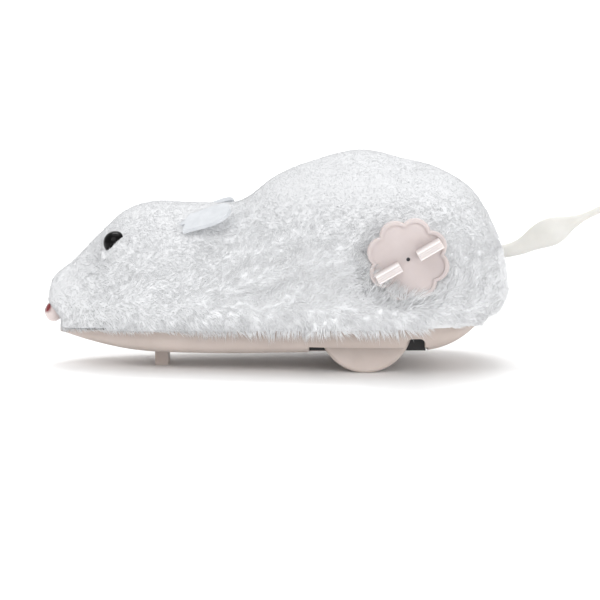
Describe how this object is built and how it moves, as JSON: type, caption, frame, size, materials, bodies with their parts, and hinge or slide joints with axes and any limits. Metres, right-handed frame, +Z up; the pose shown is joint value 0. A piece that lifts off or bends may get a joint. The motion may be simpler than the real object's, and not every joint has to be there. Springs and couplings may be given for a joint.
{
  "type": "clockwork mouse",
  "caption": "Wind-up toy mouse with a plush-covered moulded body, a flower-shaped side key, a clockwork drive to two wheels and a soft tail that whirls as it runs.",
  "frame": {"origin": "centre of the front foot's resting face, on the floor and on the mid-plane", "axes": "+X from the nose towards the tail, +Y away from the winding key, +Z up"},
  "size_m": [0.2201, 0.0606, 0.0502],
  "materials": {
    "plush": "white short-pile plush",
    "shell_plastic": "satin black",
    "chassis_plastic": "satin",
    "felt": "white felt",
    "eye_plastic": "polished",
    "nose_plastic": "polished",
    "screw_steel": "zinc plated",
    "plate_steel": "stamped and blackened",
    "turned_steel": "turned",
    "spring_steel": "blued",
    "gear_nylon": "satin",
    "brass": "machined",
    "key_plastic": "satin",
    "wheel_plastic": "satin",
    "tail_vinyl": "soft matt vinyl"
  },
  "bodies": {
    "mouse": {"chassis": "chassis_plastic", "body_shell": "shell_plastic", "plush_cover": "plush", "ear_left": "felt", "ear_right": "felt", "eye_left": "eye_plastic", "eye_right": "eye_plastic", "nose": "nose_plastic", "case_screws": "screw_steel", "motor_screws": "screw_steel", "motor_plate_left": "plate_steel", "motor_plate_right": "plate_steel", "frame_pillars": "turned_steel", "tail_bearing": "gear_nylon", "second_pin": "turned_steel", "mainspring": "spring_steel", "dust_guard_left": "shell_plastic", "dust_guard_right": "shell_plastic"},
    "drive": {"drive_axle": "turned_steel", "axle_pinion": "brass", "wheel_left": "wheel_plastic", "wheel_right": "wheel_plastic"},
    "second": {"second_gear": "gear_nylon"},
    "great": {"great_wheel": "gear_nylon", "click_spring": "spring_steel"},
    "whirling_tail": {"tail_shaft": "turned_steel", "tail_pinion": "brass", "tail": "tail_vinyl"},
    "key": {"winding_key": "key_plastic", "winding_arbor": "turned_steel", "ratchet_wheel": "turned_steel"}
  },
  "joints": [
    {"name": "wheel_spin", "type": "hinge", "parent": "mouse", "child": "drive", "pos_m": [0.0481, 0, 0.0108], "axis": [0, 1, 0], "continuous": true},
    {"name": "second_spin", "type": "hinge", "parent": "mouse", "child": "second", "pos_m": [0.04893, 0, 0.02026], "axis": [0, 1, 0], "continuous": true},
    {"name": "great_spin", "type": "hinge", "parent": "mouse", "child": "great", "pos_m": [0.0573, 0, 0.0274], "axis": [0, 1, 0], "continuous": true},
    {"name": "tail_spin", "type": "hinge", "parent": "mouse", "child": "whirling_tail", "pos_m": [0.07, 0, 0.0274], "axis": [1, 0, 0], "continuous": true},
    {"name": "key_wind", "type": "hinge", "parent": "mouse", "child": "key", "pos_m": [0.0573, 0, 0.0274], "axis": [0, 1, 0], "range_deg": [0, 1800], "deforming": ["mainspring"]}
  ],
  "couplings": [
    {"joint": "second_spin", "follows": "wheel_spin", "ratio": -0.46154},
    {"joint": "great_spin", "follows": "wheel_spin", "ratio": 0.17308},
    {"joint": "tail_spin", "follows": "wheel_spin", "ratio": -0.45}
  ]
}
